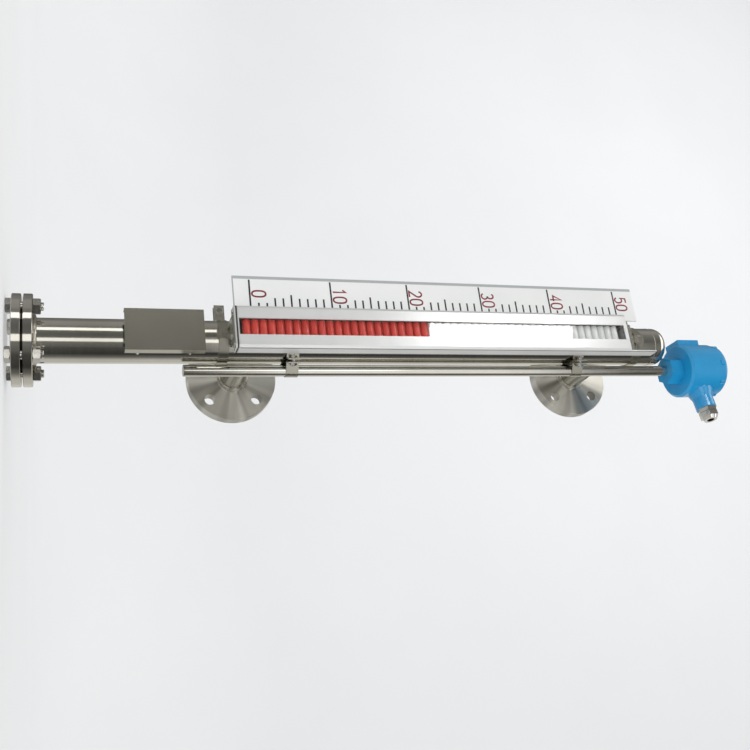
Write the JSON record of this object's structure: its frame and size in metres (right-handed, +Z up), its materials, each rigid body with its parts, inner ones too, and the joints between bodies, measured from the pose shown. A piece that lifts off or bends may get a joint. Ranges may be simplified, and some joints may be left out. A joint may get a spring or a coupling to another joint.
{
  "type": "magnetic level gauge",
  "caption": "Upright float chamber with two side flanges, a flap-roller indicator with a centimetre scale, and a transmitter rod with a round junction box.",
  "frame": {"origin": "centre of the sealing face of the lower process flange", "axes": "+Z up along the chamber, +Y out of the process flanges towards the vessel, the indicator faces -Y"},
  "size_m": [0.1877, 0.1835, 0.9242],
  "materials": {
    "polished_steel": "polished",
    "turned_steel": "turned",
    "fastener_steel": "satin",
    "inner_steel": "satin",
    "sheet_steel": "brushed",
    "rubber": "matte",
    "magnet": "matte",
    "anodised_aluminium": "satin",
    "glass": "clear",
    "rail_plastic": "matte",
    "roller_red": "satin",
    "roller_white": "satin",
    "scale_white": "satin",
    "blue_paint": "gloss",
    "board": "matte",
    "nickel": "bright"
  },
  "bodies": {
    "gauge": {"chamber_tube": "polished_steel", "top_cap": "polished_steel", "chamber_flange": "turned_steel", "blind_flange": "turned_steel", "flange_gasket": "rubber", "flange_bolts": "fastener_steel", "flange_nuts": "fastener_steel", "lower_branch_pipe": "polished_steel", "upper_branch_pipe": "polished_steel", "lower_process_flange": "turned_steel", "upper_process_flange": "turned_steel", "lower_stop_spring": "inner_steel", "upper_stop_spring": "inner_steel", "nameplate": "sheet_steel", "nameplate_studs": "fastener_steel", "indicator_housing": "anodised_aluminium", "window_glass": "glass", "roller_rail": "rail_plastic", "red_roller_row": "roller_red", "white_roller_row": "roller_white", "lower_end_plate": "anodised_aluminium", "upper_end_plate": "anodised_aluminium", "end_plate_screws": "fastener_steel", "scale_plate": "scale_white", "scale_screws": "fastener_steel", "lower_bracket": "sheet_steel", "upper_bracket": "sheet_steel", "bracket_screws": "fastener_steel", "lower_clamp_band": "sheet_steel", "upper_clamp_band": "sheet_steel", "clamp_bolts": "fastener_steel", "clamp_nuts": "fastener_steel", "transmitter_tube": "polished_steel", "transmitter_end_plug": "polished_steel", "reed_strip": "board", "lower_rod_clip": "sheet_steel", "upper_rod_clip": "sheet_steel", "clip_bolts": "fastener_steel", "clip_nuts": "fastener_steel", "junction_housing": "blue_paint", "terminal_block": "board", "terminal_screws": "nickel", "gland_body": "nickel", "gland_nut": "nickel", "gland_seal": "rubber"},
    "float": {"float_tube": "inner_steel", "float_top_dome": "inner_steel", "float_bottom_dome": "inner_steel", "float_magnet": "magnet"},
    "seal": {"cover_seal": "rubber"},
    "cover": {"junction_cover": "blue_paint"},
    "roller_1": {"roller_1": "roller_red"},
    "roller_2": {"roller_2": "roller_red"},
    "roller_3": {"roller_3": "roller_red"},
    "roller_4": {"roller_4": "roller_red"},
    "roller_5": {"roller_5": "roller_white"},
    "roller_6": {"roller_6": "roller_white"},
    "roller_7": {"roller_7": "roller_white"},
    "roller_8": {"roller_8": "roller_white"}
  },
  "joints": [
    {"name": "float_slide", "type": "slide", "parent": "gauge", "child": "float", "axis": [0, 0, 1], "range_m": [0, 0.5864]},
    {"name": "roller_1_turn", "type": "hinge", "parent": "gauge", "child": "roller_1", "pos_m": [0, -0.17, 0.18], "axis": [1, 0, 0], "range_deg": [0, 180]},
    {"name": "roller_2_turn", "type": "hinge", "parent": "gauge", "child": "roller_2", "pos_m": [0, -0.17, 0.19], "axis": [1, 0, 0], "range_deg": [0, 180]},
    {"name": "roller_3_turn", "type": "hinge", "parent": "gauge", "child": "roller_3", "pos_m": [0, -0.17, 0.2], "axis": [1, 0, 0], "range_deg": [0, 180]},
    {"name": "roller_4_turn", "type": "hinge", "parent": "gauge", "child": "roller_4", "pos_m": [0, -0.17, 0.21], "axis": [1, 0, 0], "range_deg": [0, 180]},
    {"name": "roller_5_turn", "type": "hinge", "parent": "gauge", "child": "roller_5", "pos_m": [0, -0.17, 0.22], "axis": [1, 0, 0], "range_deg": [-180, 0]},
    {"name": "roller_6_turn", "type": "hinge", "parent": "gauge", "child": "roller_6", "pos_m": [0, -0.17, 0.23], "axis": [1, 0, 0], "range_deg": [-180, 0]},
    {"name": "roller_7_turn", "type": "hinge", "parent": "gauge", "child": "roller_7", "pos_m": [0, -0.17, 0.24], "axis": [1, 0, 0], "range_deg": [-180, 0]},
    {"name": "roller_8_turn", "type": "hinge", "parent": "gauge", "child": "roller_8", "pos_m": [0, -0.17, 0.25], "axis": [1, 0, 0], "range_deg": [-180, 0]},
    {"name": "cover_rise", "type": "slide", "parent": "gauge", "child": "seal", "axis": [0, 0, 1], "range_m": [0, 0.016]},
    {"name": "cover_turn", "type": "hinge", "parent": "seal", "child": "cover", "pos_m": [0.0354, -0.132, 0.6438], "axis": [0, 0, 1], "range_deg": [0, 2880]}
  ],
  "couplings": [
    {"joint": "cover_rise", "follows": "cover_turn", "m_per_rad": 0.0003183}
  ]
}
